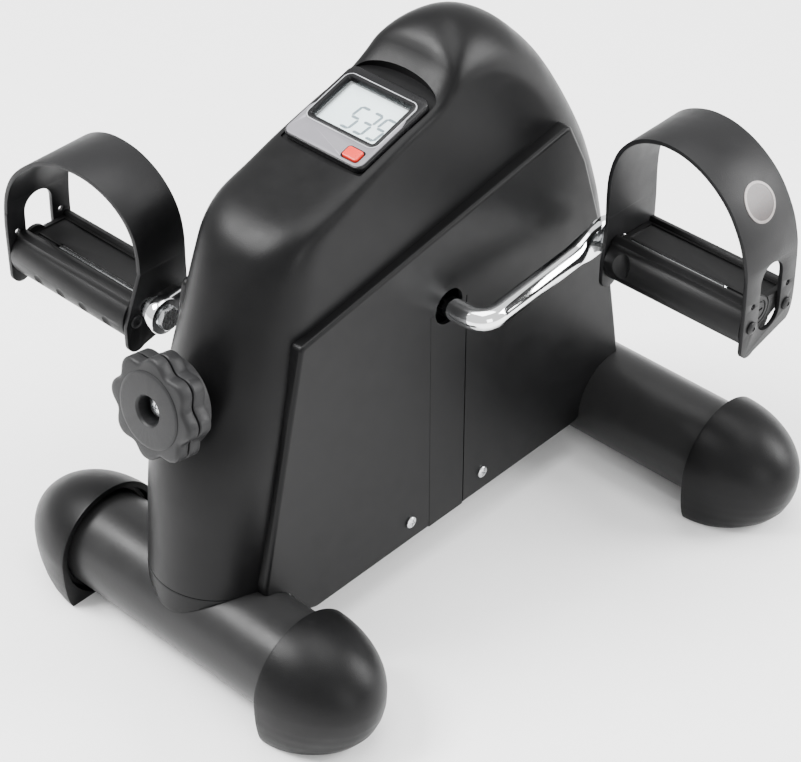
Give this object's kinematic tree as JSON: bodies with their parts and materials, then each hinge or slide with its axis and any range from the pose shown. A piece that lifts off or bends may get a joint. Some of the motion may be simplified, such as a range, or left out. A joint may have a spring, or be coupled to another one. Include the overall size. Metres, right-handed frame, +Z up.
{
  "type": "pedal exerciser",
  "caption": "Low floor-standing pedal exerciser: domed-foot steel tubes, moulded housing, bent crank with strapped pedals, screw-down friction brake and a small display.",
  "frame": {"origin": "centre of the footprint, on the floor under the crank axle", "axes": "+X to the rider's right along the crank axle, +Y away from the knob towards the wider foot, +Z up"},
  "size_m": [0.37, 0.3788, 0.327],
  "materials": {
    "housing_plastic": "satin black moulded plastic with a fine grain",
    "cap_plastic": "satin black moulded plastic, worn round the foot",
    "tube_paint": "satin black powder paint",
    "frame_paint": "black paint",
    "chrome": "polished chrome plate",
    "drum_steel": "turned steel",
    "zinc": "bright zinc plate",
    "bronze": "oil-filled sintered bronze",
    "felt": "pressed felt lining on a steel band",
    "pedal_plastic": "matt black moulded plastic",
    "strap_plastic": "soft black plastic",
    "knob_plastic": "matt black moulded plastic",
    "bezel_plastic": "satin dark grey plastic",
    "window": "clear gloss",
    "lcd": "grey-green liquid crystal display",
    "button_red": "red plastic",
    "board": "green solder mask",
    "dark_plastic": "black plastic"
  },
  "bodies": {
    "base": {"front_tube": "tube_paint", "rear_tube": "tube_paint", "front_cap_right": "cap_plastic", "front_cap_left": "cap_plastic", "rear_cap_right": "cap_plastic", "rear_cap_left": "cap_plastic", "frame_rail": "frame_paint", "front_post": "frame_paint", "bearing_upright_right": "frame_paint", "bearing_upright_left": "frame_paint", "spindle_bush_right": "bronze", "spindle_bush_left": "bronze", "friction_band": "felt", "band_anchor_pin": "zinc", "housing_shell": "housing_plastic", "front_skirt": "housing_plastic", "slot_cover_right": "housing_plastic", "slot_cover_left": "housing_plastic", "cover_screw_right_front": "zinc", "cover_screw_right_rear": "zinc", "cover_screw_left_front": "zinc", "cover_screw_left_rear": "zinc", "counter_bezel": "bezel_plastic", "counter_case": "dark_plastic", "counter_window": "window", "counter_display": "lcd", "counter_board": "board", "button_switch": "dark_plastic", "counter_battery": "zinc", "reed_sensor": "dark_plastic", "sensor_lead": "dark_plastic"},
    "crank": {"crankshaft": "chrome", "resistance_drum": "drum_steel", "sensor_magnet": "zinc", "pedal_bolt_right": "zinc", "pedal_nut_right": "zinc", "pedal_bolt_left": "zinc", "pedal_nut_left": "zinc"},
    "right_pedal": {"pedal_body_right": "pedal_plastic", "pedal_strap_right": "strap_plastic", "pedal_plug_right": "pedal_plastic", "strap_rivet_right_outer_front": "strap_plastic", "strap_rivet_right_outer_rear": "strap_plastic", "strap_rivet_right_inner_front": "strap_plastic", "strap_rivet_right_inner_rear": "strap_plastic"},
    "left_pedal": {"pedal_body_left": "pedal_plastic", "pedal_strap_left": "strap_plastic", "pedal_plug_left": "pedal_plastic", "strap_rivet_left_outer_front": "strap_plastic", "strap_rivet_left_outer_rear": "strap_plastic", "strap_rivet_left_inner_front": "strap_plastic", "strap_rivet_left_inner_rear": "strap_plastic"},
    "knob": {"tension_knob": "knob_plastic", "knob_screw": "zinc", "tension_screw": "zinc"},
    "tensioner": {"slide_nut": "zinc", "tension_spring": "zinc"},
    "button": {"mode_button": "button_red"}
  },
  "joints": [
    {"name": "crank_spin", "type": "hinge", "parent": "base", "child": "crank", "pos_m": [0, 0, 0.179], "axis": [1, 0, 0], "continuous": true},
    {"name": "right_pedal_spin", "type": "hinge", "parent": "crank", "child": "right_pedal", "pos_m": [0.12, 0.113, 0.179], "axis": [1, 0, 0], "continuous": true},
    {"name": "left_pedal_spin", "type": "hinge", "parent": "crank", "child": "left_pedal", "pos_m": [-0.12, -0.113, 0.179], "axis": [1, 0, 0], "continuous": true},
    {"name": "knob_turn", "type": "hinge", "parent": "base", "child": "knob", "pos_m": [0, -0.152, 0.181], "axis": [0, 0.9848, -0.1736], "range_deg": [0, 2880]},
    {"name": "tension_slide", "type": "slide", "parent": "base", "child": "tensioner", "axis": [0, -0.9848, 0.1736], "range_m": [0, 0.0101]},
    {"name": "button_press", "type": "slide", "parent": "base", "child": "button", "axis": [0, 0.2924, -0.9563], "range_m": [0, 0.001], "stiffness_N_per_m": 300, "springref_m": -0.001}
  ],
  "couplings": [
    {"joint": "tension_slide", "follows": "knob_turn", "m_per_rad": 0.00019894}
  ]
}
